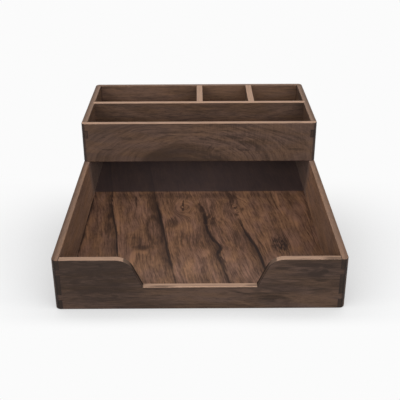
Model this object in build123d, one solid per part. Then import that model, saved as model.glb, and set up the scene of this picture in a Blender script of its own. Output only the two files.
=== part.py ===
from build123d import *
import os

# Desk organizer: an open paper tray with a cut-out front board, and a divided
# caddy that stands on the rear of the tray's rim and lifts off it. The boards
# of both meet in finger joints.
#
# Frame: millimetres, X to the right, Y to the rear, Z up. The origin is on the
# desk, under the middle of the organizer.

# ---- overall sizes ----
organizer_width = 240.0  # outside width, the same for tray and caddy
tray_depth = 325.0
tray_height = 47.3
caddy_depth = 129.4
caddy_height = 42.0

# ---- boards ----
tray_board = 6.0  # thickness of the tray's four boards
caddy_board = 6.0  # thickness of the caddy's four boards
corner_radius = 4.5  # rounding of the upright outside corners
edge_ease = 0.7  # rounding of every edge that a hand meets

# ---- cut-out in the tray's front board ----
lip_height = 21.3  # wood left standing below the cut-out
cutout_floor_width = 93.4
cutout_mouth_width = 117.0  # between the flanks, where they would meet the rim
shoulder_radius = 15.0  # rounding from flank to rim

# ---- finger joints ----
tray_pin_height = 5.7  # pins of the front and back boards, two at each corner
tray_pin_inset = 8.8  # from the tray's top and bottom edges to the pins
caddy_pin_height = 7.7  # pin of the side boards, one at each corner
caddy_pin_inset = 7.8  # from the caddy's rim down to the pin

# ---- dowels that hold the caddy in place ----
dowel_diameter = 3.0
dowel_seat_depth = 6.0  # glued into the tray's side boards
dowel_stand = 3.5  # showing above the tray's rim
dowel_tip_radius = 0.8
dowel_inset = 20.0  # from the caddy's front and rear faces to a dowel's centre
glue_gap = 0.05  # all round a dowel in its seat
socket_clearance = 0.15  # all round a dowel in its socket
socket_headroom = 0.5  # above a dowel in its socket

# ---- floors ----
tray_floor_thickness = 3.0
tray_rebate_depth = 3.0  # how far the tray's floor is let into the boards
caddy_floor_thickness = 3.0
caddy_groove_depth = 2.5
groove_end_gap = 0.4  # room for the caddy's floor to swell in its grooves
groove_web = 1.0  # wood between a dowel's socket and the groove above it

# ---- dividers ----
long_divider_thickness = 6.3
short_divider_thickness = 6.9
housing_depth = 1.5  # how far a divider is let into the board it meets
front_bay_depth = 56.6  # clear depth of the long bay at the caddy's front
left_bay_width = 111.3  # clear width of the rear bay at the left
middle_bay_width = 49.7  # clear width of the rear bay in the middle

# ---- places that follow from the sizes ----
half_width = organizer_width / 2
rear = tray_depth / 2
tray_front = -rear
tray_inside = half_width - tray_board
rim = tray_height  # the caddy stands on it
caddy_front = rear - caddy_depth
caddy_inside = half_width - caddy_board
caddy_rim = rim + caddy_height
caddy_floor_base = rim + dowel_stand + socket_headroom + groove_web
caddy_floor_top = caddy_floor_base + caddy_floor_thickness
long_divider_front = caddy_front + caddy_board + front_bay_depth
long_divider_rear = long_divider_front + long_divider_thickness
left_divider_side = left_bay_width - caddy_inside
right_divider_side = left_divider_side + short_divider_thickness + middle_bay_width


def block(x_low, x_high, y_low, y_high, z_low, z_high):
    """Rectangular block between two corners."""
    centre = Pos((x_low + x_high) / 2, (y_low + y_high) / 2, (z_low + z_high) / 2)
    return centre * Box(x_high - x_low, y_high - y_low, z_high - z_low)


def carcase(front, board, base, height):
    """Four plain walls, with rounded upright corners and an eased outside foot."""
    form = block(-half_width, half_width, front, rear, base, base + height)
    form = fillet(form.edges().filter_by(Axis.Z), corner_radius)
    form = fillet(form.faces().sort_by(Axis.Z)[0].edges(), edge_ease)
    inside = half_width - board
    return form - block(-inside, inside, front + board, rear - board, base, base + height)


def ease_above(walls, level, board):
    """Rounds the edges above a level, but not those across a board or up a corner."""
    upper = walls.edges().filter_by(lambda edge: edge.center().Z > level)
    across = upper.filter_by(Axis.Y).filter_by(lambda edge: edge.length < 2 * board)
    return fillet(upper - across - upper.filter_by(Axis.Z), edge_ease)


def end_region(y_low, board, base, height, runs):
    """Space of a front or back board, which reaches the outside over the runs of heights."""
    inside = half_width - board
    region = block(-inside, inside, y_low, y_low + board, base, base + height)
    for z_low, z_high in runs:
        region += block(-half_width, half_width, y_low, y_low + board, z_low, z_high)
    return region


def part_at_fingers(walls, front, board, base, height, runs):
    """Front, back, left and right boards, parted along the finger joints."""
    front_region = end_region(front, board, base, height, runs)
    back_region = end_region(rear - board, board, base, height, runs)
    sides = (walls - front_region - back_region).solids().sort_by(Axis.X)
    return walls & front_region, walls & back_region, sides[0], sides[1]


def front_cutout():
    """Trapezoid that is sawn out of the tray's front board, the lip left below it."""
    foot = cutout_floor_width / 2
    mouth = cutout_mouth_width / 2
    corners = [(-foot, lip_height), (foot, lip_height), (mouth, tray_height), (-mouth, tray_height)]
    profile = Plane.XZ.offset(-tray_front) * Polygon(*corners, align=None)
    return extrude(profile, amount=tray_board, both=True)


def tray_walls():
    """The tray's four walls, with the cut-out, its round shoulders and eased edges."""
    walls = carcase(tray_front, tray_board, 0, tray_height) - front_cutout()
    top_edges = walls.edges().group_by(Axis.Z)[-1]
    shoulders = top_edges.filter_by(Axis.Y).group_by(Axis.Y)[0]
    return ease_above(fillet(shoulders, shoulder_radius), lip_height / 2, tray_board)


def caddy_walls():
    """The caddy's four walls, with an eased rim."""
    walls = carcase(caddy_front, caddy_board, rim, caddy_height)
    return ease_above(walls, rim + caddy_height / 2, caddy_board)


def upright(radius, z_low, z_high):
    """Upright round bar, one at each of the four dowels' places."""
    x = half_width - tray_board / 2
    bar = Cylinder(radius, z_high - z_low, align=(Align.CENTER, Align.CENTER, Align.MIN))
    places = [(side, y) for side in (-x, x) for y in (caddy_front + dowel_inset, rear - dowel_inset)]
    return [Pos(x_place, y_place, z_low) * bar for x_place, y_place in places]


def locating_dowels():
    """Four dowels with rounded tips, standing in the tray's side boards."""
    bars = upright(dowel_diameter / 2, rim - dowel_seat_depth, rim + dowel_stand)
    return [fillet(bar.edges().group_by(Axis.Z)[-1], dowel_tip_radius) for bar in bars]


def tray():
    """The tray's boards, floor panel and dowels, by name."""
    low_pin = (tray_pin_inset, tray_pin_inset + tray_pin_height)
    high_pin = (rim - tray_pin_inset - tray_pin_height, rim - tray_pin_inset)
    boards = part_at_fingers(
        tray_walls(), tray_front, tray_board, 0, tray_height, [low_pin, high_pin]
    )
    floor_half_width = tray_inside + tray_rebate_depth
    floor_half_depth = rear - tray_board + tray_rebate_depth
    floor = block(
        -floor_half_width, floor_half_width,
        -floor_half_depth, floor_half_depth,
        0, tray_floor_thickness,
    )
    seats = upright(dowel_diameter / 2 + glue_gap, rim - dowel_seat_depth, rim)
    front_board, back_board, left_side, right_side = (board - floor for board in boards)
    return {
        "tray_front_board": front_board,
        "tray_back_board": back_board,
        "tray_left_side": left_side - seats,
        "tray_right_side": right_side - seats,
        "tray_floor_panel": floor,
        "locating_dowels": Compound(children=locating_dowels()),
    }


def caddy_floor(reach):
    """The caddy's floor panel or its groove, reaching this far into the boards."""
    return block(
        -caddy_inside - reach, caddy_inside + reach,
        caddy_front + caddy_board - reach, rear - caddy_board + reach,
        caddy_floor_base, caddy_floor_top,
    )


def long_divider():
    """Board between the side boards, let into both."""
    reach = caddy_inside + housing_depth
    return block(-reach, reach, long_divider_front, long_divider_rear, caddy_floor_top, caddy_rim)


def short_divider(side):
    """Board from the long divider to the back board, let into both, with its left face at side."""
    return block(
        side, side + short_divider_thickness,
        long_divider_rear - housing_depth, rear - caddy_board + housing_depth,
        caddy_floor_top, caddy_rim,
    )


def eased_top(divider, along):
    """Divider with its two long top edges rounded."""
    return fillet(divider.edges().group_by(Axis.Z)[-1].filter_by(along), edge_ease)


def caddy():
    """The caddy's boards, floor panel and dividers, by name."""
    low_run = (rim, caddy_rim - caddy_pin_inset - caddy_pin_height)
    high_run = (caddy_rim - caddy_pin_inset, caddy_rim)
    boards = part_at_fingers(
        caddy_walls(), caddy_front, caddy_board, rim, caddy_height, [low_run, high_run]
    )
    groove = caddy_floor(caddy_groove_depth)
    front_board, back_board, left_side, right_side = (board - groove for board in boards)
    sockets = upright(
        dowel_diameter / 2 + socket_clearance, rim, rim + dowel_stand + socket_headroom
    )
    shorts = [short_divider(left_divider_side), short_divider(right_divider_side)]
    left_divider, right_divider = (eased_top(divider, Axis.Y) for divider in shorts)
    return {
        "caddy_front_board": front_board,
        "caddy_back_board": back_board - shorts,
        "caddy_left_side": left_side - long_divider() - sockets,
        "caddy_right_side": right_side - long_divider() - sockets,
        "caddy_floor_panel": caddy_floor(caddy_groove_depth - groove_end_gap),
        "long_divider": eased_top(long_divider(), Axis.X) - shorts,
        "left_short_divider": left_divider,
        "right_short_divider": right_divider,
    }


os.makedirs("parts", exist_ok=True)
for name, shape in {**tray(), **caddy()}.items():
    export_step(shape, f"parts/{name}.step")
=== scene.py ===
"""Walnut finish, light and camera for a desk organizer.

The boards are the fixed frame's own nodes, in metres. Each operator finishes
one board or one group of like boards, and the last one builds the stage.
Lengths in this file are in millimetres unless a comment says otherwise.
"""

import math
from typing import NamedTuple

import bpy
from mathutils import Matrix, Vector


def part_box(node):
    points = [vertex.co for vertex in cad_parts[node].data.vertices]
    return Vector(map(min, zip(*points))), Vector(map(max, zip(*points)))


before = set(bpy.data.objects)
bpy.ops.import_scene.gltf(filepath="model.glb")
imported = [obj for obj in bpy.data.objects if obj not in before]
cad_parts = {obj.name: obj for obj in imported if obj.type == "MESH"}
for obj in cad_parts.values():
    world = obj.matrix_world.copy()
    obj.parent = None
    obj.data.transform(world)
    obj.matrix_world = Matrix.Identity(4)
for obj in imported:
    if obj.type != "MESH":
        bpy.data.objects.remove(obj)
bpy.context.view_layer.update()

bl_info = {
    "name": "Desk organizer in walnut",
    "version": (1, 0, 0),
    "blender": (4, 5, 0),
    "location": "3D View > Sidebar > Organizer",
    "description": "Finishes a wooden desk organizer and sets it on a plain stage",
    "category": "Object",
}

MM = 0.001  # one millimetre, in metres


# ---------------------------------------------------------------- settings


def colour_property(name, description, default):
    return bpy.props.FloatVectorProperty(
        name=name, description=description, default=default, subtype="COLOR", size=3, min=0, max=1
    )


class WalnutLook(bpy.types.PropertyGroup):
    """Tones and finish of the solid walnut boards."""

    early: colour_property("Early wood", "Pale part of a growth ring", (0.112, 0.062, 0.0385))
    late: colour_property("Late wood", "Dark part of a growth ring", (0.040, 0.0235, 0.0158))
    pore: colour_property("Pores", "Open pores and glue lines", (0.013, 0.008, 0.007))
    end: colour_property("End grain", "Cut ends of the boards", (0.006, 0.0045, 0.0035))
    # painted sheen: the oil's sheen on the top edges, painted as a paler colour
    painted_sheen: colour_property("Sanded edge", "Bare top edge of a board", (0.46, 0.288, 0.198))
    greyed: colour_property("Greyed wood", "Pale wood that has turned grey", (0.112, 0.0685, 0.0485))
    # painted shade: the greyer colour of the walls' part in the caddy's shadow
    painted_shade: colour_property(
        "Covered wall", "Inside of the tray's walls under the caddy", (0.16, 0.12, 0.108)
    )
    gloss: bpy.props.FloatProperty(
        name="Oil gloss", description="Strength of the oil's reflection", default=0.12, min=0, max=1
    )
    roughness: bpy.props.FloatProperty(
        name="Roughness", description="Roughness of the oiled face", default=0.55, min=0, max=1
    )


class PanelLook(bpy.types.PropertyGroup):
    """Tones of the figured floor panel."""

    light: colour_property("Light figure", "Pale flame of the figure", (0.30, 0.152, 0.083))
    rosy: colour_property("Rosy figure", "Redder parts of the pale flame", (0.270, 0.141, 0.093))
    dark: colour_property("Dark figure", "Dark flame of the figure", (0.055, 0.030, 0.021))
    vein: colour_property("Veins", "Dark veins along the figure", (0.018, 0.012, 0.011))
    # painted shade: the flat colour of the floor's part in the caddy's shadow
    painted_shade: colour_property(
        "Covered part", "Part that the caddy keeps from the daylight", (0.100, 0.0695, 0.0665)
    )


class StageLook(bpy.types.PropertyGroup):
    """Light and floor around the organizer."""

    key_level: bpy.props.FloatProperty(
        name="Key", description="Light of the key strips on a level surface", default=0.42, min=0
    )
    key_tint: colour_property("Key tint", "Colour of the key strips", (1.0, 0.97, 0.92))
    fill_level: bpy.props.FloatProperty(
        name="Fill", description="Light of the front softboxes on an upright face", default=0.95, min=0
    )
    fill_tint: colour_property("Fill tint", "Colour of fill and sky", (0.93, 0.96, 1.0))
    sky_level: bpy.props.FloatProperty(
        name="Sky", description="Strength of the even light all round", default=0.25, min=0
    )
    key_tilt: bpy.props.FloatProperty(
        name="Key tilt",
        description="Lean of the key strips to the front of upright",
        default=math.radians(23.3),
        subtype="ANGLE",
    )
    floor_depth: bpy.props.FloatProperty(
        name="Floor depth",
        description="How far shade can darken the floor, where 1 is to black",
        default=0.34,
        min=0,
        max=1,
    )
    # painted contact shade: the glowing grey that ambient occlusion mixes into the floor beside the
    # organizer
    contact: bpy.props.FloatProperty(
        name="Contact", description="Tone of the floor beside the organizer", default=0.46, min=0
    )
    backdrop: bpy.props.FloatProperty(
        name="Backdrop", description="Tone of floor and backdrop in full light", default=0.965, min=0
    )


# ---------------------------------------------------------------- shader maths


class Field:
    """A value that varies over a surface; arithmetic on it adds Math nodes."""

    def __init__(self, shader, socket):
        self.shader = shader
        self.socket = socket

    def __add__(self, other):
        return self.shader.math("ADD", self, other)

    def __radd__(self, other):
        return self.shader.math("ADD", other, self)

    def __sub__(self, other):
        return self.shader.math("SUBTRACT", self, other)

    def __rsub__(self, other):
        return self.shader.math("SUBTRACT", other, self)

    def __mul__(self, other):
        return self.shader.math("MULTIPLY", self, other)

    def __rmul__(self, other):
        return self.shader.math("MULTIPLY", other, self)

    def __truediv__(self, other):
        return self.shader.math("DIVIDE", self, other)

    def __abs__(self):
        return self.shader.math("ABSOLUTE", self)


class Shader:
    """A node tree that is built from nothing, and the ways to add to it."""

    def __init__(self, tree):
        self.tree = tree
        tree.nodes.clear()

    def node(self, kind, settings=None, sockets=None, out=0):
        """Adds a node, sets it up, fills its sockets and gives one output."""
        made = self.tree.nodes.new(kind)
        for name, value in (settings or {}).items():
            if name == "curve":
                points = made.mapping.curves[0].points
                points[0].location, points[1].location = value[0], value[-1]
                for place in value[1:-1]:
                    points.new(*place)
                made.mapping.update()
            else:
                setattr(made, name, value)
        for key, value in (sockets or {}).items():
            if isinstance(value, Field):
                self.tree.links.new(value.socket, made.inputs[key])
            else:
                made.inputs[key].default_value = value
        return Field(self, made.outputs[out]) if made.outputs else made

    def math(self, operation, *values):
        return self.node("ShaderNodeMath", {"operation": operation}, dict(enumerate(values)))

    def vector_math(self, operation, *values, out=0):
        settings = {"operation": operation}
        return self.node("ShaderNodeVectorMath", settings, dict(enumerate(values)), out)

    def smooth(self, value, low, high):
        """Soft step: 0 at low, 1 at high."""
        settings = {"interpolation_type": "SMOOTHSTEP"}
        return self.node("ShaderNodeMapRange", settings, {0: value, 1: low, 2: high})

    def band(self, value, low, high, soft):
        """1 between low and high, and 0 beyond, with soft ends."""
        rise = self.smooth(value, low - soft, low + soft)
        return rise * (1 - self.smooth(value, high - soft, high + soft))

    def line(self, value, half_width):
        """1 where the value is 0, fading out over the line's half width."""
        return 1 - self.smooth(abs(value), 0.3 * half_width, half_width)

    def place(self, turn=Matrix.Identity(3), middle=(0, 0, 0)):
        """Place on the organizer in mm, measured from a middle and then turned."""
        sockets = {
            0: self.node("ShaderNodeTexCoord", out="Object"),
            1: turn @ -Vector(middle),
            2: turn.to_euler(),
            3: (1 / MM, 1 / MM, 1 / MM),
        }
        return self.node("ShaderNodeMapping", {"vector_type": "POINT"}, sockets)

    def split(self, vector):
        return [self.node("ShaderNodeSeparateXYZ", None, {0: vector}, axis) for axis in range(3)]

    def join(self, *parts):
        return self.node("ShaderNodeCombineXYZ", None, dict(enumerate(parts)))

    def noise(self, vector, cell, seed, detail=2.0, out=0):
        """Noise from 0 to 1 whose cells have this length, width and depth."""
        shift = (7.3 * seed, 3.1 * seed, 5.7 * seed)
        sockets = {0: vector, 1: shift, 3: [1 / size for size in cell]}
        sized = self.node("ShaderNodeMapping", {"vector_type": "POINT"}, sockets)
        sockets = {"Vector": sized, "Scale": 1.0, "Detail": detail}
        return self.node("ShaderNodeTexNoise", None, sockets, out)

    def layers(self, distance, width, seed, detail=3.0):
        """Noise from 0 to 1 that only changes with distance, in uneven layers."""
        sockets = {"W": distance / width + 9.7 * seed, "Scale": 1.0, "Detail": detail}
        return self.node("ShaderNodeTexNoise", {"noise_dimensions": "1D"}, sockets)

    def mix_noises(self, *shares):
        """Sum of noises, each given as its share and itself, that lies round 0."""
        total = 0.0
        for share_of_noise, noise in shares:
            total = total + share_of_noise * (noise - 0.5)
        return total

    def marks(self, along, across, marks):
        """Sum of the soft oval marks at a place that is given along and across the grain."""
        total = 0.0
        for mark in marks:
            from_along = (along - mark.along) / mark.length
            from_across = (across - mark.across - mark.lean * (along - mark.along)) / mark.width
            offset = self.join(from_along, from_across, 0)
            distance = self.vector_math("LENGTH", offset, out=1)
            total = total + mark.dark * (1 - self.smooth(distance, 0.35, 1.0))
        return total

    def blend(self, factor, first, second):
        """Colour that goes from first to second as factor goes from 0 to 1."""
        colours = [value if isinstance(value, Field) else (*value, 1) for value in (first, second)]
        sockets = {0: factor, 6: colours[0], 7: colours[1]}
        return self.node("ShaderNodeMix", {"data_type": "RGBA"}, sockets, out=2)

    def shade(self, colour, factor):
        """Colour that is this many times as light."""
        sockets = {"Vector": colour, "Scale": factor}
        return self.node("ShaderNodeVectorMath", {"operation": "SCALE"}, sockets)

    def tint(self, colour, tint):
        """Colour whose red, green and blue are multiplied by the tint's."""
        return self.vector_math("MULTIPLY", colour, tint)


def new_shader(name):
    material = bpy.data.materials.new(name)
    material.use_nodes = True
    return material, Shader(material.node_tree)


GRAIN_RISE = 0.04 * MM  # how far the hard grain stands proud


def oiled(shader, colour, grain_height, roughness_change):
    """Satin oil over a wood colour, with the grain standing very slightly proud."""
    look = bpy.context.scene.walnut_look
    bump = shader.node("ShaderNodeBump", None, {"Distance": GRAIN_RISE, "Height": grain_height})
    sockets = {
        "Base Color": colour,
        "Roughness": look.roughness + roughness_change,
        "Normal": bump,
        "Specular IOR Level": look.gloss,
    }
    surface = shader.node("ShaderNodeBsdfPrincipled", None, sockets)
    shader.node("ShaderNodeOutputMaterial", None, {"Surface": surface})


# ---------------------------------------------------------------- solid walnut


class Mark(NamedTuple):
    """A soft oval mark in the figure, such as a streak, a knot or a patch."""

    along: float  # its middle along the grain
    across: float
    length: float  # half of it, along the grain
    width: float  # half of it, across the grain
    lean: float = 0.0
    dark: float = 0.3  # below 0 for a pale mark


class Cut(NamedTuple):
    """How a board was sawn: its grain, and where the log's heart lies."""

    grain: str  # axis that the grain follows, X or Y
    heart: tuple = (0, -40, 60)  # from the board's middle: along, across and behind
    lean: float = 0.15  # how fast the heart leaves the board along the grain
    ring: float = 5.0  # width of a growth ring
    rings: float = 1.0  # how clearly the rings show
    core: float = 0.0  # radius of the darker core round the heart
    tone: float = 0.0  # how far it leans to early wood
    stain: float = 1.0  # how light it is among its neighbours
    edge: float = 1.0  # how strong the painted sheen on its top edge is
    painted_outer_shade: float = 0.0  # how much painted shade darkens its outer half, whose top edge also loses the painted sheen
    opening: float = 0.0  # half the width of a cut-out whose faces get some painted sheen too
    painted_shade: float = 0.0  # where the painted shadow's edge crosses the middle of its inner face
    end: float = 0.9  # how dark its end grain is
    greyed: float = 0.0  # how far its pale wood has turned grey
    calm: float = 0.0  # where its rings begin to show, coming from the left end
    marks: tuple = ()  # from the board's middle
    sheen_marks: tuple = ()  # in the painted sheen on its top edges, seen from above
    seed: int = 1


SWAY = 12.0  # how far the grain wanders across and behind
FINE_RING = 1.7  # width of the fine rings between the growth rings
PORE_DARKNESS = 0.5
GLUE_DARKNESS = 0.85
ROUNDING_PAINTED_SHADE = 0.7  # painted shade on the roundings of the upright corners
PAINTED_SHADOW_SLOPE = 0.38  # how far forward the painted shadow's edge moves for each mm of height
WALL_PAINTED_LIGHT = 0.36  # how much lighter the painted light makes a wall's rear half
WALL_PAINTED_SHADE = 0.42  # how much darker and greyer the painted shade makes a wall's part in the caddy's shadow
OLIVE_TINT = (1.04, 1.0, 0.93)
ROSY_TINT = (0.98, 0.985, 1.05)
GRAIN_TURNS = {
    "X": Matrix(((1, 0, 0), (0, 0, 1), (0, -1, 0))),
    "Y": Matrix(((0, 1, 0), (0, 0, 1), (1, 0, 0))),
}


class Corner(NamedTuple):
    """Finger joints at a carcase's four corners."""

    left: str  # its left side board
    middle: float  # height of the middle of the joint
    pins: float  # how far above and below the middle the pins' middles are
    half_pin: float  # half a pin's height
    side_pins: bool  # whether the pins belong to the side boards


TRAY_CORNER = Corner("tray_left_side", 23.65, 12.0, 2.85, False)
CADDY_CORNER = Corner("caddy_left_side", 77.65, 0.0, 3.85, True)
GLUE_LINE = 0.5  # half its width


def glue_lines(shader, corner):
    """1 along the thin glue lines between the fingers of the corners."""
    low, high = (Vector(place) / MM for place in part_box(corner.left))
    board = high.x - low.x
    x, y, z = shader.split(shader.place(middle=(0, (low.y + high.y) / 2, 0)))
    inside_x = abs(x) - (abs(low.x) - board)
    inside_y = abs(y) - ((high.y - low.y) / 2 - board)
    past_pin = abs(abs(z - corner.middle) - corner.pins) - corner.half_pin
    on_side_board = past_pin * (-1 if corner.side_pins else 1)
    corner_only = shader.smooth(inside_x, -0.5, -0.4) * shader.smooth(inside_y, -0.5, -0.4)
    level = shader.line(past_pin, GLUE_LINE)
    front_upright = shader.line(inside_x, GLUE_LINE) * shader.smooth(on_side_board, -0.1, 0.1)
    side_upright = shader.line(inside_y, GLUE_LINE) * shader.smooth(on_side_board, 0.1, -0.1)
    upright = shader.math("MAXIMUM", front_upright, side_upright)
    return corner_only * shader.math("MAXIMUM", level, upright)


class Grain(NamedTuple):
    """What varies over one board, for the steps of its finish to share."""

    board: Field  # place from the board's middle: along, across and behind
    along: Field
    across: Field
    deep: Field
    outward: Field  # how far out from the middle of a side board's thickness
    swayed_across: Field  # across, measured with the wandering grain
    distance: Field  # from the log's heart
    ring: Field
    fibre: Field
    streak: Field
    cloud: Field
    pore: Field


def grain_of(shader, cut, middle):
    """Lays a board's grain: where it lay in the log, and its rings, fibres and pores."""
    seed = cut.seed
    board = shader.place(GRAIN_TURNS[cut.grain], middle)
    along, across, deep = shader.split(board)
    sway = shader.noise(board, (90, 26, 26), seed, out=1)
    swayed = shader.vector_math("MULTIPLY_ADD", sway, (0, SWAY, SWAY), board)
    _, swayed_across, swayed_deep = shader.split(swayed)
    heart_along, heart_across, heart_deep = cut.heart
    from_heart = shader.join(
        (along - heart_along) * cut.lean,
        swayed_across - (SWAY / 2 + heart_across),
        swayed_deep - (SWAY / 2 - heart_deep),
    )
    distance = shader.vector_math("LENGTH", from_heart, out=1)
    growth_ring = shader.layers(distance, cut.ring, seed)
    fine_ring = shader.layers(distance, FINE_RING, seed)
    figure = shader.join(along, distance, 0) if cut.core else swayed
    return Grain(
        board=board,
        along=along,
        across=across,
        deep=deep,
        outward=deep * math.copysign(1, middle.x),
        swayed_across=swayed_across - SWAY / 2,
        distance=distance,
        ring=0.6 * growth_ring + 0.4 * fine_ring,
        fibre=shader.noise(figure, (10, 0.9, 0.9), seed + 1, detail=3),
        streak=shader.noise(figure, (36, 2.6, 2.6), seed + 2, detail=3),
        cloud=shader.noise(board, (50, 16, 16), seed + 3, detail=2),
        pore=shader.smooth(shader.noise(swayed, (5, 0.4, 0.4), seed + 4, detail=1), 0.60, 0.70),
    )


def round_the_core(shader, cut, grain, figure):
    """Figure of a board sawn beside the heart, whose rings arch round a darker core."""
    ragged = grain.distance + shader.mix_noises((5, grain.cloud), (3, grain.fibre))
    in_core = shader.smooth(ragged, 1.12 * cut.core, 0.92 * cut.core)
    # The rings are clear on the right of where the board is calm, and crisp just outside the core.
    clear = 0.45 + 0.55 * shader.band(grain.along, cut.calm, 70, 45)
    crisp = 1 + 0.4 * shader.band(grain.distance, 1.1 * cut.core, 2.2 * cut.core, 8)
    figure = figure * clear * crisp * (1 - 0.45 * in_core) + 0.33 * in_core
    pale_ring = shader.band(grain.distance, 1.15 * cut.core, 1.3 * cut.core, 2)
    # Upright flecks cross the grain on the right half.
    fleck = shader.noise(grain.board, (1.3, 6, 6), cut.seed + 7, detail=1)
    flecked = shader.smooth(grain.along, -30, 20)
    return figure - 0.2 * pale_ring + 0.7 * (fleck - 0.5) * flecked


def figure_tone(shader, cut, grain):
    """Tone of the figure: about 0 in early wood and 1 in late wood."""
    figure = shader.mix_noises((cut.rings, grain.ring), (1.45, grain.fibre), (1.0, grain.streak))
    if cut.core:
        figure = round_the_core(shader, cut, grain, figure)
    tone = 0.5 - cut.tone + figure + shader.mix_noises((0.9, grain.cloud))
    if cut.marks:
        tone = tone + shader.marks(grain.along, grain.swayed_across, cut.marks)
    return tone


def daylight(shader, cut, grain, colour, look):
    """Paints light on the rear half of a wall's inner face, and paints shade on its part in the
    caddy's shadow.
    """
    inner = shader.smooth(grain.outward, 2, -1)
    # painted light on the rear half of the inner face, and painted shade behind the shadow's slanting
    # edge
    rearward = grain.along + PAINTED_SHADOW_SLOPE * grain.across
    painted_shade = shader.smooth(rearward, cut.painted_shade - 18, cut.painted_shade + 1)
    rear_half = shader.smooth(grain.along, -35, 20)
    lightness = 1 + inner * (WALL_PAINTED_LIGHT * rear_half - WALL_PAINTED_SHADE * painted_shade)
    colour = shader.shade(colour, lightness)
    return shader.blend(WALL_PAINTED_SHADE * painted_shade * inner, colour, look.painted_shade)


def face_colour(shader, cut, grain, look):
    """Colour of a board's oiled faces."""
    pale = Vector(look.early).lerp(Vector(look.greyed), cut.greyed)
    colour = shader.blend(shader.smooth(figure_tone(shader, cut, grain), -0.15, 1.15), pale, look.late)
    stain = cut.stain
    # painted shade on the outer half of a side board
    if cut.painted_outer_shade:
        stain = stain * (1 - 0.6 * cut.painted_outer_shade * shader.smooth(grain.outward, -1, 2))
    hue = shader.smooth(shader.noise(grain.board, (45, 9, 9), cut.seed + 5, detail=1), 0.35, 0.65)
    colour = shader.tint(shader.shade(colour, stain), shader.blend(hue, OLIVE_TINT, ROSY_TINT))
    if cut.painted_shade:
        colour = daylight(shader, cut, grain, colour, look)
    return shader.blend(PORE_DARKNESS * grain.pore, colour, look.pore)


def cut_faces(shader, cut, grain, colour, look):
    """Adds end grain, painted shade on the roundings and painted sheen on the top edge to the faces'
    colour.
    """
    normal = shader.split(shader.node("ShaderNodeTexCoord", out="Normal"))
    endwise = abs(normal["XY".index(cut.grain)])
    end_grain = shader.smooth(endwise, 0.7, 0.9)
    # painted shade where a rounding turns between front and side
    rounding = shader.smooth(abs(normal[0] * normal[1]), 0.1, 0.4)
    if cut.opening:
        inside = shader.smooth(abs(grain.along), cut.opening + 12, cut.opening)
        end_grain = end_grain * (1 - inside * shader.smooth(grain.deep, -1, 1))
        # painted highlight on the cut-out's faces that look up
        soft = shader.smooth(normal[2], 0.3, 0.9) * inside
        colour = shader.blend(0.2 * soft, colour, look.painted_sheen)
    colour = shader.blend(ROUNDING_PAINTED_SHADE * rounding, colour, look.pore)
    colour = shader.blend(cut.end * end_grain, colour, look.end)
    # painted sheen on the upward faces that are not end grain, in streaks
    line = shader.noise(grain.board, (22, 0.9, 0.9), cut.seed + 6, detail=2)
    sheen_share = cut.edge * (0.62 + 0.7 * grain.streak) * (1 - 0.25 * shader.smooth(line, 0.5, 0.7))
    sheen_share = sheen_share * shader.smooth(normal[2], 0.6, 0.93) * shader.smooth(endwise, 0.46, 0.38)
    # the outer half of a side board's top gets less painted sheen
    if cut.painted_outer_shade:
        sheen_share = sheen_share * (1 - cut.painted_outer_shade * shader.smooth(grain.outward, -2.5, 2.5))
    if cut.sheen_marks:
        sheen_share = sheen_share * (1 - shader.marks(grain.along, grain.deep, cut.sheen_marks))
    return shader.blend(sheen_share, colour, look.painted_sheen)


def walnut(name, cut, corner=None):
    """Solid walnut with growth rings, streaks, fibres, pores and end grain."""
    look = bpy.context.scene.walnut_look
    material, shader = new_shader(name.replace("_", " "))
    low, high = (Vector(place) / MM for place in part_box(name))
    grain = grain_of(shader, cut, (low + high) / 2)
    colour = face_colour(shader, cut, grain, look)
    colour = cut_faces(shader, cut, grain, colour, look)
    if corner:
        colour = shader.blend(GLUE_DARKNESS * glue_lines(shader, corner), colour, look.pore)
    height = grain.fibre - 0.7 * grain.pore
    oiled(shader, colour, height, 0.15 * grain.pore + 0.1 * (grain.fibre - 0.5))
    return material


# ---------------------------------------------------------------- figured panel


class Vein(NamedTuple):
    """A dark vein of the figured panel, with a crisp right edge."""

    path: tuple  # places (y, x) that the crisp edge runs through, front first
    width: float
    shade: float = 0.5  # darkness of the soft band on its left
    reach: tuple = (-170, 170)  # front and rear end
    strength: float = 1.0
    thick: tuple = (-170, 170)  # between these it has its full width
    flank: float = 1.0  # paleness of the wood on its right


class Knot(NamedTuple):
    """A small knot that the panel's grain flows round."""

    x: float
    y: float
    reach: float


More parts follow.
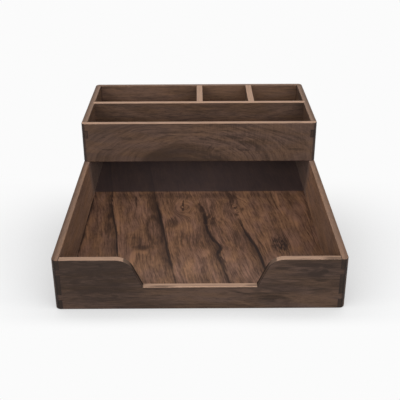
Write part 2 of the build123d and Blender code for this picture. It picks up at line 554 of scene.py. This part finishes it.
VEINS = (
    Vein(
        ((-165, -63), (-78, -76), (-42, -80.2), (-4, -87), (20, -91.2), (50, -94), (165, -112)),
        width=2.6,
        shade=0.4,
        thick=(-78, 14),
    ),
    Vein(
        ((-165, -12), (-112, -23), (-80, -28), (-40, -33.5), (-1, -39.5), (30, -45), (165, -62)),
        width=3.6,
        shade=0.55,
        thick=(-100, 22),
        flank=0.35,
    ),
    Vein(
        (
            (-165, 34),
            (-124, 26),
            (-100, 21.4),
            (-80, 18.6),
            (-68, 21.6),
            (-54, 15.6),
            (-38, 10.2),
            (-10, 7.8),
            (12, 4.4),
            (21, 1.4),
            (165, -22),
        ),
        width=5.2,
        reach=(-170, 24),
        thick=(-90, 0),
        flank=0.1,
    ),
    Vein(
        ((-165, 70), (-103, 59.8), (-69, 54.8), (-54, 50.9), (-40, 46.7), (-20, 42.4), (48, 32)),
        width=4.2,
        shade=0.4,
        reach=(-170, -10),
        thick=(-104, -34),
        flank=0.5,
    ),
    Vein(((-94, 23.5), (-88, 21.5), (-82, 17), (-70, 14)), 3.0, 0.0, (-94, -80), 0.7),
    Vein(((-85, 84), (-50, 82.5), (-30, 80)), 1.2, 0.1, (-84, -30), 0.45),
    # painted contact shade along the foot of the right wall
    Vein(((-165, 112), (-66, 111), (-10, 109.5), (25, 106)), 1.6, 0.25, (-60, 26), 0.5),
    Vein(((10, 56), (25, 50), (40, 38), (48, 32), (60, 28)), 1.6, 0.2, (22, 60), 0.5),
    Vein(((0, 40), (13, 35), (36, 33), (60, 30)), 2.0, 0.2, (14, 60), 0.5),
    # painted shadow line along the foot of the left wall
    Vein(((-170, -112.8), (170, -112.8)), 1.4, 0.0, (-84, 36), 0.75),
    Vein(((0, 83), (25, 79.5), (60, 77.5)), 1.4, 0.2, (8, 56), 0.6),
    Vein(((0, 78.5), (17, 77), (45, 71), (60, 68)), 1.2, 0.1, (0, 56), 0.4),
    Vein(((-60, 110), (-45, 107), (-27, 104), (-10, 102)), 1.2, 0.1, (-48, -24), 0.5),
    Vein(((-40, -50), (0, -64), (20, -66), (40, -68)), 1.2, 0.1, (4, 40), 0.5),
)

PANEL_MARKS = (
    # painted shade across the floor under the caddy, in front of its shadow's edge
    Mark(42, 0, 9, 150, 0.0, 0.22),
    Mark(0, -108, 60, 14, -0.1, 0.3),
    Mark(-66.5, -55, 6, 11, 0.0, 0.4),
    Mark(-64, -46, 9, 4, 0.0, 0.2),
    Mark(-76, -55, 5, 9, 0.0, -0.45),
    Mark(-85, -62, 17, 4, 0.0, -0.6),
    Mark(-78, 5, 10, 6, 0.0, -0.4),
    Mark(-5, -92, 12, 3, 0.0, 0.5),
    Mark(20, -93, 6, 3, 0.0, 0.5),
    Mark(-50, -103, 30, 6, -0.1, 0.2),
    Mark(28, -67, 14, 1.6, -0.1, 0.4),
    Mark(20, -17.4, 16, 1.4, 0.0, 1.2),
    Mark(10, -17.2, 4, 1.6, 0.0, 0.9),
    Mark(14.5, -17.6, 2.4, 1.1, 0.0, -2.0),
    Mark(10, 2, 10, 3.4, 0.0, 0.6),
    Mark(33, 35, 14, 3.0, 0.0, 0.5),
    Mark(14, 37.5, 4, 2.0, 0.4, 0.9),
    Mark(16, 34.8, 3, 1.1, 0.0, -0.9),
    Mark(16.5, 37.5, 1.4, 2.6, 0.0, -0.8),
    Mark(7, 37, 2.4, 1.4, 0.0, -0.7),
    Mark(5, 39, 3, 2.2, 0.0, 0.7),
    Mark(-2, 38, 4, 2.5, 0.0, 0.5),
    Mark(10, 44, 5, 3, 0.0, 0.35),
    Mark(-24, 42, 4, 1.4, 0.0, 0.9),
    Mark(28, 46, 12, 2.2, -0.25, -0.4),
    Mark(-59, 58, 14, 2.0, -0.3, 0.4),
    Mark(-62, 60, 14, 1.2, -0.3, -0.5),
    Mark(-16, 58, 9, 8, 0.0, -0.3),
    Mark(8, 87, 10, 4, 0.0, -0.35),
    Mark(-15, 97, 20, 3, 0.0, -0.3),
    Mark(-5, 74, 34, 6, 0.0, 0.15),
    Mark(33, 83, 21, 1.5, -0.03, -1.1),
    Mark(25, 9, 16, 3, 0.0, -0.35),
    Mark(-12, -24, 9, 7, 0.0, 0.2),
    Mark(-6, 9, 7, 3.4, 0.25, 0.7),
    Mark(-10, 14, 5, 2.6, 0.25, 0.7),
    Mark(-20, 13, 4, 3.2, 0.25, 0.6),
    Mark(-23, 7, 3, 3.0, 0.25, -0.6),
    Mark(-14, 21, 9, 3.0, 0.1, 0.35),
    Mark(-90, -2, 12, 8, 0.0, 0.15),
    Mark(-30, -102, 110, 12, 0.0, -0.18),
    Mark(-20, 104, 110, 11, 0.0, -0.16),
    Mark(-105, -6, 30, 9, 0.0, -0.2),
    Mark(-20, -28, 12, 9, 0.0, 0.4),
    Mark(-18, 14, 12, 5, 0.0, 0.3),
    Mark(-60, 92, 28, 8, 0.0, -0.4),
    Mark(-58, 65, 14, 5, 0.0, -0.3),
    # painted contact shade at the foot of the right wall
    Mark(0, 112.5, 45, 3, 0.0, 0.5),
    Mark(-38, -95, 12, 5, 0.0, 0.4),
    Mark(-26, -91, 18, 5, -0.12, 0.45),
)

DOTTED_PATCH = Mark(-64, 76.5, 22, 11.5, -0.12, 0.8)
LOOP = Mark(-35, -43.8, 33, 9.2, -0.12, 0.62)
KNOTS = (Knot(-15.5, 15.0, 15.0), Knot(38.0, 12.9, 9.0))
PANEL_SLANT = 0.15  # how far the figure leans to the left towards the rear
PANEL_WANDER = 14.0  # how far it wanders to the side
VEIN_DARKNESS = 0.8
PANEL_HALF = (120.0, 165.0)  # half the width and depth that the veins' paths cover
FRONT_LIGHTENING = (1.57, 1.68, 1.78)  # how many times as light the panel's front end is
PAINTED_SHADOW_FROM = 53.0  # y where the painted shade of the caddy's shadow begins on the floor
PAINTED_SHADE_SHARE = 0.78  # how far the painted shade takes the place of the panel's own colour


def share(value, half):
    """Place between -half and half as a number from 0 to 1."""
    return (value + half) / (2 * half)


class PanelGrain(NamedTuple):
    """What varies over the figured panel, for the steps of its finish to share."""

    panel: Field  # place on the panel
    x: Field
    y: Field
    ragged_y: Field  # y, made uneven by the fibres
    flow: Field  # place across and along the flowing grain
    rings: Field  # round the knots
    fibre: Field
    line: Field
    flame: Field


def panel_grain(shader, seed):
    """Lays the panel's grain, which leans, wanders and flows round the knots."""
    panel = shader.place()
    x, y, _ = shader.split(panel)
    wander = shader.noise(panel, (45, 80, 45), seed, detail=1)
    across = x + PANEL_SLANT * y + PANEL_WANDER * (wander - 0.5)
    rings = 0.0
    for knot in KNOTS:
        from_knot = shader.join(x - knot.x, 0.7 * (y - knot.y), 0)
        distance = shader.vector_math("LENGTH", from_knot, out=1)
        near = 1 - shader.smooth(distance, 0.2 * knot.reach, 1.2 * knot.reach)
        across = across + near * (distance + knot.x - across)
        rings = rings + near * (shader.layers(distance, 2.2, seed, detail=1) - 0.5)
    flow = shader.join(across, y, 0)
    fibre = shader.noise(flow, (0.8, 14, 1), seed + 1, detail=3)
    line = shader.noise(flow, (2.0, 44, 1), seed + 2, detail=2)
    flame = shader.noise(flow, (10, 34, 1), seed + 3, detail=2)
    ragged_y = y + shader.mix_noises((7, line), (8, fibre))
    return PanelGrain(panel, x, y, ragged_y, flow, rings, fibre, line, flame)


def draw_veins(shader, wood, seed):
    """Darkness of the veins, and paleness of the wood on their right.

    A vein is a dark core along its crisp edge and a soft band on the left of it.
    """
    rough = shader.mix_noises((3.0, wood.line), (2.0, wood.fibre))
    swell = shader.noise(wood.panel, (200, 26, 200), seed + 5, detail=1)
    half_width, half_depth = PANEL_HALF
    depth_share = share(wood.y, half_depth)
    dark = 0.0
    pale = 0.0
    for vein in VEINS:
        curve = [(share(y, half_depth), share(x, half_width)) for y, x in vein.path]
        edge = shader.node("ShaderNodeFloatCurve", {"curve": curve}, {1: depth_share})
        past_edge = wood.x - (edge * (2 * half_width) - half_width) + rough
        full = 0.65 + 0.35 * shader.band(wood.y, *vein.thick, 10)
        width = vein.width * full * (0.5 + swell)
        core = shader.band(past_edge / width, -0.75, 0.0, 0.25) * (0.4 + 1.2 * wood.line)
        soft = shader.smooth(past_edge, -6 - 8 * full, -1) * shader.smooth(past_edge, 0.8, -0.8)
        ends = shader.band(wood.y, *vein.reach, 4) * vein.strength
        drawn = shader.math("MAXIMUM", core, vein.shade * soft) * full * ends
        dark = shader.math("MAXIMUM", dark, drawn)
        beside = shader.smooth(past_edge, 9, 1.5) * shader.smooth(past_edge, 0.3, 1.5)
        pale = shader.math("MAXIMUM", pale, beside * ends * vein.flank)
    return dark, pale


def draw_patch(shader, wood, seed):
    """Darkness of the patch of short strokes."""
    stroke = shader.noise(wood.flow, (1.5, 7, 1), seed + 8, detail=1)
    patch = shader.marks(wood.ragged_y, wood.x, (DOTTED_PATCH,))
    return patch * shader.smooth(stroke, 0.4, 0.58)


def draw_loop(shader, wood):
    """Darkness of the oval line, which is open at the front."""
    across = wood.x - LOOP.across - LOOP.lean * (wood.y - LOOP.along) + 5 * (wood.flame - 0.5)
    place = shader.join(across / LOOP.width, (wood.ragged_y - LOOP.along) / LOOP.length, 0)
    from_middle = shader.vector_math("LENGTH", place, out=1)
    oval = shader.band(from_middle, 0.72, 0.96, 0.18) * (0.2 + 1.6 * wood.line)
    return LOOP.dark * oval * shader.smooth(wood.y, -70, -45)


def panel_lightness(shader, wood, dark, pale, seed):
    """Lightness of the flame, about 0 to 1.5."""
    cloud = shader.noise(wood.panel, (24, 30, 24), seed + 4, detail=2)
    speck = shader.noise(wood.flow, (1.5, 5, 1), seed + 6, detail=1)
    grain = shader.mix_noises((1.3, wood.fibre), (1.1, wood.line), (0.9, wood.flame))
    spots = shader.mix_noises((0.7, cloud), (0.65, speck))
    beside_veins = pale * (0.1 + 0.8 * (wood.line - 0.3))
    light = 0.62 + grain + spots + beside_veins + 1.2 * wood.rings
    marks = shader.marks(wood.ragged_y, wood.x, PANEL_MARKS)
    return light - 0.5 * dark - draw_loop(shader, wood) - marks


def figured_panel(name, seed):
    """Veneered panel with a warm flame, fine fibres, knots and dark veins, and painted shade under the
    caddy and at the walls' feet.
    """
    look = bpy.context.scene.panel_look
    material, shader = new_shader(name.replace("_", " "))
    wood = panel_grain(shader, seed)
    veins, pale = draw_veins(shader, wood, seed)
    dark = shader.math("MAXIMUM", veins, draw_patch(shader, wood, seed))
    light = panel_lightness(shader, wood, dark, pale, seed)
    hue = shader.smooth(shader.noise(wood.panel, (11, 26, 11), seed + 7, detail=1), 0.35, 0.65)
    flame_colour = shader.blend(hue, look.light, look.rosy)
    colour = shader.blend(shader.smooth(light, -0.1, 1.5), look.dark, flame_colour)
    front = shader.smooth(wood.y, -62, -130)
    colour = shader.tint(colour, shader.blend(front, (1, 1, 1), FRONT_LIGHTENING))
    colour = shader.blend(VEIN_DARKNESS * dark, colour, look.vein)
    # painted shade of the caddy's shadow: a flat colour from the shadow's edge to the rear
    painted_shade = shader.smooth(wood.y, PAINTED_SHADOW_FROM - 0.8, PAINTED_SHADOW_FROM + 0.8)
    colour = shader.blend(PAINTED_SHADE_SHARE * painted_shade, colour, look.painted_shade)
    oiled(shader, colour, wood.fibre, 0.1 * (wood.fibre - 0.5))
    return material


def dress(name, material):
    """Gives a board its finish."""
    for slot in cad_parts[name].material_slots:
        slot.material = material


# ---------------------------------------------------------------- the boards


TRAY_FRONT_MARKS = (
    Mark(-75, 6, 75, 34, 0.0, 0.35),
    Mark(-107, 9.5, 10, 1.0, -0.3, 0.56),
    Mark(-88, 7.5, 3.5, 1.3, 0.0, 0.56),
    Mark(-102, 1.3, 6, 3.2, 0.0, 0.42),
    Mark(-82, 7.5, 4, 1.6, 0.0, 0.42),
    Mark(-71, 1, 7, 3.2, 0.0, 0.42),
    Mark(-70, -11, 4, 1.6, 0.0, 0.35),
    Mark(-79.7, 17, 2.5, 1.8, 0.0, 0.49),
    Mark(98, 13, 2.2, 1.8, 0.0, 1.12),
    Mark(97.8, 18.2, 2.4, 1.8, 0.0, -0.35),
    Mark(94, 11, 9, 7, 0.0, 0.49),
    Mark(90, 20, 27, 3.5, -0.1, 0.49),
    Mark(74, 12.7, 17, 1.3, 0.0, -0.42),
    Mark(72, 3.7, 12, 1.0, 0.0, -0.49),
    Mark(62, -14.5, 19, 3.4, -0.1, 0.49),
    Mark(35, -16.7, 13, 1.2, -0.33, -0.49),
    Mark(85, -13.5, 8, 1.2, 0.35, -0.42),
    Mark(102, -14.6, 14, 1.2, -0.26, -0.42),
    Mark(32, -8.3, 16, 1.2, -0.2, 0.42),
    Mark(95, -14, 36, 12, 0.0, -0.35),
    Mark(-10, -10, 60, 12, 0.0, -0.42),
    Mark(101, 14, 4, 2.6, 0.0, 0.8),
    Mark(66, 17, 8, 2.2, 0.0, 0.6),
    Mark(84, 15, 6, 2.0, 0.0, 0.5),
    Mark(99, -7.5, 13, 5.0, 0.0, 0.45),
    Mark(99, 4.5, 8, 2.4, 0.0, 0.45),
    Mark(19, -8.7, 6, 2.0, 0.0, 0.5),
    Mark(54.5, -7, 7, 2.2, 0.0, -0.6),
    Mark(38, -7.3, 9, 2.0, 0.0, -0.45),
    Mark(65.5, -16, 6, 2.0, 0.0, -0.5),
    Mark(-36, -9.3, 7, 2.0, 0.0, 0.4),
)

TRAY_FRONT_SHEEN_MARKS = (
    Mark(0, 0, 80, 8, 0.0, -0.2),
    Mark(-31, 1.3, 15, 1.6, 0.0, 1.1),
    Mark(8, 0.3, 42, 0.8, 0.0, 0.6),
    Mark(42, 0.6, 7, 1.8, 0.0, 0.8),
    Mark(108, 1.2, 12, 2.5, 0.0, 0.6),
    Mark(84, 1.8, 9, 1.2, 0.0, 0.3),
)

CADDY_FRONT_MARKS = (
    Mark(-45.5, -13.5, 7, 4.5, 0.0, 0.3),
    Mark(45.5, -2.2, 8, 1.6, -0.9, 0.35),
    Mark(56, -14, 4, 2.2, -1.7, 0.35),
    Mark(55.5, -6, 4, 5, 0.0, -0.35),
    Mark(87, 9, 30, 1.6, -0.32, 0.25),
    Mark(80, 5, 30, 1.3, -0.32, -0.2),
    Mark(95, 2, 25, 1.3, -0.32, 0.2),
    Mark(-110, -8, 7, 6, 0.0, -0.2),
    Mark(10.6, -4.9, 3.4, 1.0, 0.87, 0.5),
    Mark(14.2, -6.2, 3.2, 1.0, 0.9, 0.35),
    Mark(5, 10, 40, 8, 0.0, -0.15),
    Mark(-11, 4, 13, 3, 0.0, -0.4),
    Mark(0, 15, 22, 1.6, 0.0, -0.35),
    Mark(20, 10, 24, 1.4, -0.15, -0.3),
    Mark(22, -9, 14, 8, 0.0, -0.16),
    Mark(46.5, -7.8, 10, 2.0, 0.0, 0.45),
    Mark(101, -8, 14, 2.2, 0.0, 0.4),
    Mark(22, -7.7, 8, 1.8, 0.0, 0.4),
    Mark(-94.5, -7, 8, 2.0, 0.0, 0.4),
    Mark(-74.5, 5, 8, 2.0, 0.0, 0.35),
    Mark(-30.5, 7, 8, 2.0, 0.0, 0.35),
    Mark(49, 3.2, 14, 2.0, 0.0, -0.4),
    Mark(36, 9.9, 8, 2.0, 0.0, -0.35),
    Mark(28, 15.4, 9, 2.0, 0.0, -0.35),
    Mark(4, 8, 8, 4.0, 0.0, -0.3),
)

DIVIDER_MARKS = (
    Mark(-9, 18.8, 7, 1.5, 0.1, 0.5),
    Mark(14, 18.6, 8, 1.5, -0.1, 0.5),
    Mark(3, 15.5, 10, 2.2, 0.0, -0.3),
)

CADDY_BACK_MARKS = (
    Mark(-72, 13.5, 16, 1.4, -0.1, -0.4),
    Mark(-40, 11, 14, 1.2, -0.05, -0.3),
    Mark(20, 12, 14, 1.2, 0.0, -0.3),
    Mark(60, 0, 75, 30, 0.0, -0.16),
)


class BoardOperator:
    """Shared by the operators that finish solid boards."""

    bl_options = {"REGISTER", "UNDO"}
    corner = None
    cuts = {}

    def execute(self, context):
        for name, cut in self.cuts.items():
            dress(name, walnut(name, cut, self.corner))
        return {"FINISHED"}


class ORGANIZER_OT_tray_front(BoardOperator, bpy.types.Operator):
    """Finish the tray's front board, with its cut-out"""

    bl_idname = "organizer.tray_front"
    bl_label = "Tray front board"
    corner = TRAY_CORNER
    cuts = {
        "tray_front_board": Cut(
            "X",
            heart=(60, -70, 40),
            lean=0.12,
            ring=6.0,
            rings=0.8,
            stain=0.57,
            edge=0.77,
            opening=62,
            greyed=0.55,
            marks=TRAY_FRONT_MARKS,
            sheen_marks=TRAY_FRONT_SHEEN_MARKS,
            seed=3,
        ),
    }


class ORGANIZER_OT_tray_back(BoardOperator, bpy.types.Operator):
    """Finish the tray's back board"""

    bl_idname = "organizer.tray_back"
    bl_label = "Tray back board"
    corner = TRAY_CORNER
    cuts = {
        "tray_back_board": Cut("X", heart=(-30, -40, 30), lean=0.2, stain=0.8, edge=0.78, seed=11),
    }


WALL_PAINTED_SHADOW_EDGE = 42.6  # y where the painted shadow's edge crosses the walls' mid-height


class ORGANIZER_OT_tray_sides(BoardOperator, bpy.types.Operator):
    """Finish the tray's side boards"""

    bl_idname = "organizer.tray_sides"
    bl_label = "Tray side boards"
    corner = TRAY_CORNER
    cuts = {
        "tray_left_side": Cut(
            "Y",
            heart=(-40, -50, 35),
            tone=0.1,
            stain=1.56,
            edge=0.3,
            painted_outer_shade=0.7,
            painted_shade=WALL_PAINTED_SHADOW_EDGE,
            seed=19,
        ),
        "tray_right_side": Cut(
            "Y",
            heart=(60, -60, 40),
            tone=0.1,
            stain=1.8,
            edge=0.34,
            painted_outer_shade=0.5,
            painted_shade=WALL_PAINTED_SHADOW_EDGE,
            seed=27,
        ),
    }


class ORGANIZER_OT_tray_floor(bpy.types.Operator):
    """Finish the tray's figured floor panel"""

    bl_idname = "organizer.tray_floor"
    bl_label = "Tray floor panel"
    bl_options = {"REGISTER", "UNDO"}

    def execute(self, context):
        dress("tray_floor_panel", figured_panel("tray_floor_panel", seed=35))
        return {"FINISHED"}


class ORGANIZER_OT_dowels(BoardOperator, bpy.types.Operator):
    """Finish the dowels that hold the caddy in place"""

    bl_idname = "organizer.dowels"
    bl_label = "Locating dowels"
    cuts = {"locating_dowels": Cut("X", edge=0.6, seed=107)}


class ORGANIZER_OT_caddy_front(BoardOperator, bpy.types.Operator):
    """Finish the caddy's front board, with its arched figure"""

    bl_idname = "organizer.caddy_front"
    bl_label = "Caddy front board"
    corner = CADDY_CORNER
    cuts = {
        "caddy_front_board": Cut(
            "X",
            heart=(-14, -24, 2),
            lean=0.43,
            rings=1.1,
            core=21.5,
            stain=0.86,
            edge=0.95,
            greyed=0.4,
            calm=-40,
            marks=CADDY_FRONT_MARKS,
            seed=43,
        ),
    }


class ORGANIZER_OT_caddy_back(BoardOperator, bpy.types.Operator):
    """Finish the caddy's back board"""

    bl_idname = "organizer.caddy_back"
    bl_label = "Caddy back board"
    corner = CADDY_CORNER
    cuts = {
        "caddy_back_board": Cut(
            "X", heart=(40, -50, 40), tone=0.2, edge=0.3, marks=CADDY_BACK_MARKS, seed=51
        ),
    }


class ORGANIZER_OT_caddy_sides(BoardOperator, bpy.types.Operator):
    """Finish the caddy's side boards"""

    bl_idname = "organizer.caddy_sides"
    bl_label = "Caddy side boards"
    corner = CADDY_CORNER
    cuts = {
        "caddy_left_side": Cut(
            "Y", heart=(-20, -40, 40), lean=0.2, edge=0.45, painted_outer_shade=0.6, end=0.55, seed=59
        ),
        "caddy_right_side": Cut(
            "Y", heart=(30, -50, 40), lean=0.2, edge=0.45, painted_outer_shade=0.6, end=0.7, seed=67
        ),
    }


class ORGANIZER_OT_dividers(BoardOperator, bpy.types.Operator):
    """Finish the caddy's dividers"""

    bl_idname = "organizer.dividers"
    bl_label = "Dividers"
    cuts = {
        "long_divider": Cut(
            "X",
            heart=(5, 24, 2),
            lean=0.3,
            rings=0.8,
            stain=0.86,
            edge=1.15,
            marks=DIVIDER_MARKS,
            seed=75,
        ),
        "left_short_divider": Cut("Y", heart=(0, -50, 40), lean=0.2, seed=83),
        "right_short_divider": Cut("Y", heart=(0, -60, 40), lean=0.2, edge=0.97, seed=91),
    }


class ORGANIZER_OT_caddy_floor(BoardOperator, bpy.types.Operator):
    """Finish the caddy's floor panel"""

    bl_idname = "organizer.caddy_floor"
    bl_label = "Caddy floor panel"
    cuts = {
        "caddy_floor_panel": Cut(
            "X", heart=(30, 0, 25), lean=0.12, ring=6.0, rings=1.2, edge=0.0, seed=99
        ),
    }


# ---------------------------------------------------------------- the stage


FLOOR_SHADE_REACH = 0.1  # m, how far the soft contact shade spreads
FLOOR_POOL = (0.3, 0.75)  # m from the middle, where the shading starts and ends fading
POOL_REAR = (-0.055, 0.098)  # m, where it fades towards the rear
POOL_FRONT = (-0.171, -0.192)  # m, where it fades towards the front
FLOOR_BOUNCE = 0.8  # share of the light that the floor gives back to the organizer
FLOOR_RADIUS = 12  # m


def backdrop_rays(shader):
    """1 for the rays that show the backdrop: from the camera, or by way of gloss or glass."""
    camera, gloss, glass = (
        shader.node("ShaderNodeLightPath", out=kind)
        for kind in ("Is Camera Ray", "Is Glossy Ray", "Is Transmission Ray")
    )
    return shader.math("MAXIMUM", camera, shader.math("MAXIMUM", gloss, glass))


def stage_floor(look):
    """Large plain floor, white in full light, that keeps the organizer's shadow."""
    bpy.ops.object.select_all(action="DESELECT")
    bpy.ops.mesh.primitive_circle_add(vertices=96, radius=FLOOR_RADIUS, fill_type="NGON")
    floor = bpy.context.object
    floor.name = "stage_floor"
    material, shader = new_shader("plain floor")

    def grey(kind, tone):
        return shader.node(kind, None, {"Color": (tone, tone, tone, 1)})

    lit = grey("ShaderNodeBsdfDiffuse", look.floor_depth)
    glow = grey("ShaderNodeEmission", look.backdrop - look.floor_depth)
    open_floor = shader.node("ShaderNodeAddShader", None, {0: lit, 1: glow})
    # painted contact shade: a glowing grey, mixed in by ambient occlusion
    contact = grey("ShaderNodeEmission", look.contact)
    open_share = shader.node(
        "ShaderNodeAmbientOcclusion", {"samples": 8}, {"Distance": FLOOR_SHADE_REACH}, out="AO"
    )
    shaded = shader.node("ShaderNodeMixShader", None, {0: open_share, 1: contact, 2: open_floor})
    ground = shader.place()
    from_middle = shader.vector_math("LENGTH", ground, out=1)
    ground_y = shader.split(ground)[1]
    far = shader.smooth(from_middle, FLOOR_POOL[0] / MM, FLOOR_POOL[1] / MM)
    for start, end in (POOL_REAR, POOL_FRONT):
        far = shader.math("MAXIMUM", far, shader.smooth(ground_y, start / MM, end / MM))
    white = grey("ShaderNodeEmission", look.backdrop)
    seen = shader.node("ShaderNodeMixShader", None, {0: far, 1: shaded, 2: white})
    bounced = grey("ShaderNodeBsdfDiffuse", FLOOR_BOUNCE)
    sockets = {0: backdrop_rays(shader), 1: bounced, 2: seen}
    surface = shader.node("ShaderNodeMixShader", None, sockets)
    shader.node("ShaderNodeOutputMaterial", None, {"Surface": surface})
    floor.data.materials.append(material)


def stage_sky(look):
    """Even light all round, which the camera and the gloss see as a white backdrop."""
    world = bpy.data.worlds.new("studio")
    bpy.context.scene.world = world
    world.use_nodes = True
    shader = Shader(world.node_tree)
    white = (look.backdrop, look.backdrop, look.backdrop, 1)
    sockets = {"Color": (*look.fill_tint, 1), "Strength": look.sky_level}
    light = shader.node("ShaderNodeBackground", None, sockets)
    shown = shader.node("ShaderNodeBackground", None, {"Color": white})
    sockets = {0: backdrop_rays(shader), 1: light, 2: shown}
    surface = shader.node("ShaderNodeMixShader", None, sockets)
    shader.node("ShaderNodeOutputWorld", None, {"Surface": surface})


LAMP_DISTANCE = 3.0  # m
FULL_LEVEL = math.pi**2 * LAMP_DISTANCE**2  # W that light a facing white surface to 1
STRIP_LEANS = (-52, 0, 52)  # degrees to the right of the middle of the arch
STRIP_SIZE = (2.6, 0.06)  # m
FILL_TURNS = (-38, 0, 38)  # degrees to the right of straight in front
FILL_SIZE = (2.2, 0.6)  # m
FILL_RISE = math.radians(20)


def softbox(name, aim, towards, across, size, power, tint):
    """Rectangular softbox that faces the aim; across is its short side."""
    turn = Matrix((across.cross(towards), across, towards)).transposed()
    place = aim + towards * LAMP_DISTANCE
    bpy.ops.object.light_add(type="AREA", location=place, rotation=turn.to_euler())
    lamp = bpy.context.object
    lamp.name = name
    lamp.visible_camera = False
    lamp.data.shape = "RECTANGLE"
    lamp.data.size, lamp.data.size_y = size
    lamp.data.energy = power
    lamp.data.color = tint


def stage_lamps(look):
    """Three key strips in an arch above and in front, and three fills round the front.

    The arch leans so that the caddy's lower front edge throws a crisp shadow.
    """
    low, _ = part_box("caddy_front_board")
    caddy_edge = Vector((0, low[1], low[2]))
    sin, cos = math.sin(look.key_tilt), math.cos(look.key_tilt)
    across_arch = Vector((0, cos, sin))
    for number, degrees in enumerate(STRIP_LEANS, 1):
        lean = math.radians(degrees)
        towards = Vector((math.sin(lean), -sin * math.cos(lean), cos * math.cos(lean)))
        power = look.key_level / len(STRIP_LEANS) * FULL_LEVEL / towards.z
        softbox(
            f"key_strip_{number}", caddy_edge, towards, across_arch, STRIP_SIZE, power, look.key_tint
        )
    sin, cos = math.sin(FILL_RISE), math.cos(FILL_RISE)
    for number, degrees in enumerate(FILL_TURNS, 1):
        turn = Matrix.Rotation(math.radians(degrees), 3, "Z")
        towards, across = turn @ Vector((0, -cos, sin)), turn @ Vector((0, sin, cos))
        power = look.fill_level / len(FILL_TURNS) * FULL_LEVEL / -towards.y
        softbox(
            f"front_fill_{number}", Vector(), towards, across, FILL_SIZE, power, look.fill_tint
        )


CAMERA_PLACE = (-0.00057, -0.66398, 0.35413)  # m
CAMERA_PAN = math.radians(-0.093)
CAMERA_PITCH = math.radians(26.776)  # below the horizon
CAMERA_ROLL = math.radians(-0.243)
CAMERA_LENS = 65.83  # on a 36 mm sensor


def stage_camera():
    """Camera above and in front, looking down on the tray."""
    turn = (
        Matrix.Rotation(CAMERA_PAN, 3, "Z")
        @ Matrix.Rotation(math.pi / 2 - CAMERA_PITCH, 3, "X")
        @ Matrix.Rotation(CAMERA_ROLL, 3, "Z")
    )
    bpy.ops.object.camera_add(location=CAMERA_PLACE, rotation=turn.to_euler())
    camera = bpy.context.object
    camera.data.lens = CAMERA_LENS
    bpy.context.scene.camera = camera


class ORGANIZER_OT_stage(bpy.types.Operator):
    """Build the floor, the light and the camera"""

    bl_idname = "organizer.stage"
    bl_label = "Stage"
    bl_options = {"REGISTER", "UNDO"}

    def execute(self, context):
        look = context.scene.stage_look
        stage_floor(look)
        stage_sky(look)
        stage_lamps(look)
        stage_camera()
        context.scene.view_settings.view_transform = "Standard"
        return {"FINISHED"}


# ---------------------------------------------------------------- the add-on


operators = (
    ORGANIZER_OT_tray_front,
    ORGANIZER_OT_tray_back,
    ORGANIZER_OT_tray_sides,
    ORGANIZER_OT_tray_floor,
    ORGANIZER_OT_dowels,
    ORGANIZER_OT_caddy_front,
    ORGANIZER_OT_caddy_back,
    ORGANIZER_OT_caddy_sides,
    ORGANIZER_OT_caddy_floor,
    ORGANIZER_OT_dividers,
    ORGANIZER_OT_stage,
)

looks = {"walnut_look": WalnutLook, "panel_look": PanelLook, "stage_look": StageLook}


class ORGANIZER_PT_sidebar(bpy.types.Panel):
    """Lists the organizer's pieces in the sidebar"""

    bl_label = "Desk organizer"
    bl_idname = "ORGANIZER_PT_sidebar"
    bl_space_type = "VIEW_3D"
    bl_region_type = "UI"
    bl_category = "Organizer"

    def draw(self, context):
        column = self.layout.column(align=True)
        for operator in operators:
            column.operator(operator.bl_idname)


def register():
    for kind in (*looks.values(), *operators, ORGANIZER_PT_sidebar):
        bpy.utils.register_class(kind)
    for name, kind in looks.items():
        setattr(bpy.types.Scene, name, bpy.props.PointerProperty(type=kind))


def unregister():
    for name in looks:
        delattr(bpy.types.Scene, name)
    for kind in (ORGANIZER_PT_sidebar, *reversed(operators), *looks.values()):
        bpy.utils.unregister_class(kind)


def main():
    register()
    for operator in operators:
        group, name = operator.bl_idname.split(".")
        getattr(getattr(bpy.ops, group), name)()


if __name__ == "__main__":
    main()
